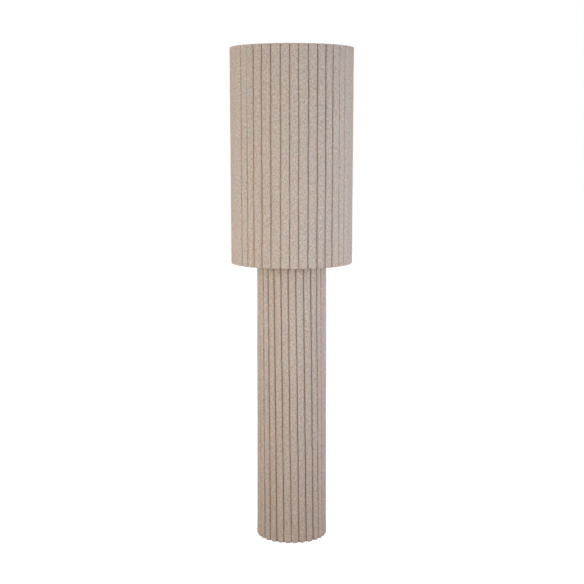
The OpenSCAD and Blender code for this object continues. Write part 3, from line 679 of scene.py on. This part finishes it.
# hem strips, mm: the rim's height, outer radius of the leg and of the edge laid over the rim
hemStrips = {
    "shadeTopHem": {"node": "shade_upper_hem", "body": "shade", "rim": 1500.0,
                    "legR": 171.69, "outR": 178.1, "up": 1},
    "shadeFootHem": {"node": "shade_lower_hem", "body": "shade", "rim": 857.0,
                     "legR": 170.71, "outR": 177.1, "up": -1},
    "columnTopHem": {"node": "column_upper_hem", "body": "stand", "rim": 897.9,
                     "legR": 93.02, "outR": 98.6, "up": 1},
    "columnFootHem": {"node": "column_lower_hem", "body": "stand", "rim": 2.0,
                      "legR": 101.1, "outR": 101.7, "up": -1},
}
hemCut = {
    "thick": 0.8, "tall": 15.0, "corner": 1.4, "around": 240,
    "round": 0.3,            # how far in the outer edge rounds off
    "thin": 0.1,             # how much each side of the free edge is taken off
    "stops": (0.5, 0.85),    # points down the leg, as shares of its height
    "cornerTurns": (30, 60, 90),                 # points round the corner, degrees
    "wave": 0.12, "waves": 9, "waveHeight": 6,   # the leg's waviness, how close, and down it
    "waveFrom": 2,                               # how far below the rim it starts
    "fray": 0.35, "frays": 14, "frayFrom": 0.8,  # the free edge's unevenness, how close, from where
}


def hemSection(s):
    # radius and depth below the rim, round the strip once
    t, tall, soft, thin = [hemCut[key] for key in ("thick", "tall", "round", "thin")]
    half, low = [tall * share for share in hemCut["stops"]]
    inner, out = s["legR"] - t, s["outR"]
    c = min(hemCut["corner"], out - inner - soft)
    points = [(inner + thin, tall), (inner, low), (inner, half), (inner, c)]
    for a in hemCut["cornerTurns"]:
        turn = math.radians(a)
        points.append((inner + c * (1 - math.cos(turn)), c * (1 - math.sin(turn))))
    points += [(out - soft, 0.0), (out, soft / 2), (out, t - soft / 2), (out - soft, t)]
    points += [(inner + max(c, t), t), (inner + t, max(c, t) + thin), (inner + t, half)]
    points += [(inner + t, low), (inner + t - thin, tall)]
    return points


def hemStrip(name, s):
    section = hemSection(s)
    n, m, up = hemCut["around"], len(section), s["up"]
    runs = [0.0]
    for p, q in zip(section, section[1:] + section[:1]):
        runs.append(runs[-1] + math.dist(p, q))
    arc = 2 * math.pi * s["legR"] / n * mm
    verts, faces, uvs = [], [], []
    for i in range(n):
        a = 2 * math.pi * i / n
        x, y = math.cos(a), math.sin(a)
        for r, d in section:
            place = Vector((x * hemCut["waves"], y * hemCut["waves"], d / hemCut["waveHeight"]))
            if d > hemCut["waveFrom"]:
                r += hemCut["wave"] * noise.noise(place)
            if d > hemCut["tall"] * hemCut["frayFrom"]:
                edge = Vector((x * hemCut["frays"], y * hemCut["frays"], s["rim"]))
                d += hemCut["fray"] * noise.noise(edge)
            verts.append((r * x * mm, r * y * mm, (s["rim"] - up * d) * mm))
    for i in range(n):
        k = (i + 1) % n
        for j in range(m):
            l = (j + 1) % m
            quad = (i * m + j, i * m + l, k * m + l, k * m + j)
            here, there = runs[j] * mm, runs[j + 1] * mm
            corners = [(i * arc, here), (i * arc, there), ((i + 1) * arc, there), ((i + 1) * arc, here)]
            if up < 0:
                quad, corners = quad[::-1], corners[::-1]
            faces.append(quad)
            uvs += corners
    ob = clothObject(name, verts, faces, hemLook, uvs)
    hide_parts(s["node"])
    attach(ob, s["body"])
    return ob


hems = {name: hemStrip(name, s) for name, s in hemStrips.items()}

stitchRows = {
    "shadeTopStitches": {"body": "shade", "radius": 170.89, "z": 1488.4},
    "shadeFootStitches": {"body": "shade", "radius": 169.91, "z": 868.6},
}
stitch = {
    "count": 252, "long": 3.1, "thick": 0.55,
    "stands": 0.22,          # how far its middle stands off the hem
    "sinks": 0.14,           # and how far its ends go in
    "slant": 0.25, "slantRange": (0.6, 1.4), "wander": 0.06, "seed": 3,
    "along": (-1, -0.72, 0, 0.72, 1), "around": 6,
    "tip": 0.03,             # how little of it is left at the ends
}
threadLook = hardFinish("hemThread", {
    "tones": ((186, 170, 150), (214, 200, 182)), "grain": 0.5,
    "stretch": (1, 1, 3), "bump": 0.05, "roughness": 0.7,
})


def stitchRow(name, s):
    # one run of thread stitches round the inside of a hem, each end drawn into the cloth
    rnd = random.Random(stitch["seed"])
    verts, faces = [], []
    along, around = stitch["along"], stitch["around"]
    for i in range(stitch["count"]):
        wander = rnd.uniform(-stitch["wander"], stitch["wander"])
        turn = 2 * math.pi * (i + wander) / stitch["count"]
        tilt = stitch["slant"] * rnd.uniform(*stitch["slantRange"])
        first = len(verts)
        for a in along:
            thick = stitch["thick"] / 2 * math.sqrt(max(stitch["tip"], 1 - a * a))
            sink = s["radius"] - stitch["stands"] * (1 - a * a) + stitch["sinks"] * a * a
            angle = turn + a * stitch["long"] / 2 / s["radius"]
            for k in range(around):
                b = 2 * math.pi * k / around
                r = sink - thick * math.cos(b)
                z = s["z"] + a * tilt + thick * math.sin(b)
                verts.append((r * math.cos(angle) * mm, r * math.sin(angle) * mm, z * mm))
        for j in range(len(along) - 1):
            for k in range(around):
                n = (k + 1) % around
                p, q = first + j * around, first + (j + 1) * around
                faces.append((p + k, p + n, q + n, q + k))
        faces.append([first + k for k in range(around)][::-1])
        faces.append([first + (len(along) - 1) * around + k for k in range(around)])
    ob = clothObject(name, verts, faces, threadLook)
    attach(ob, s["body"])


for name, s in stitchRows.items():
    stitchRow(name, s)
print("hem strips are sewn")
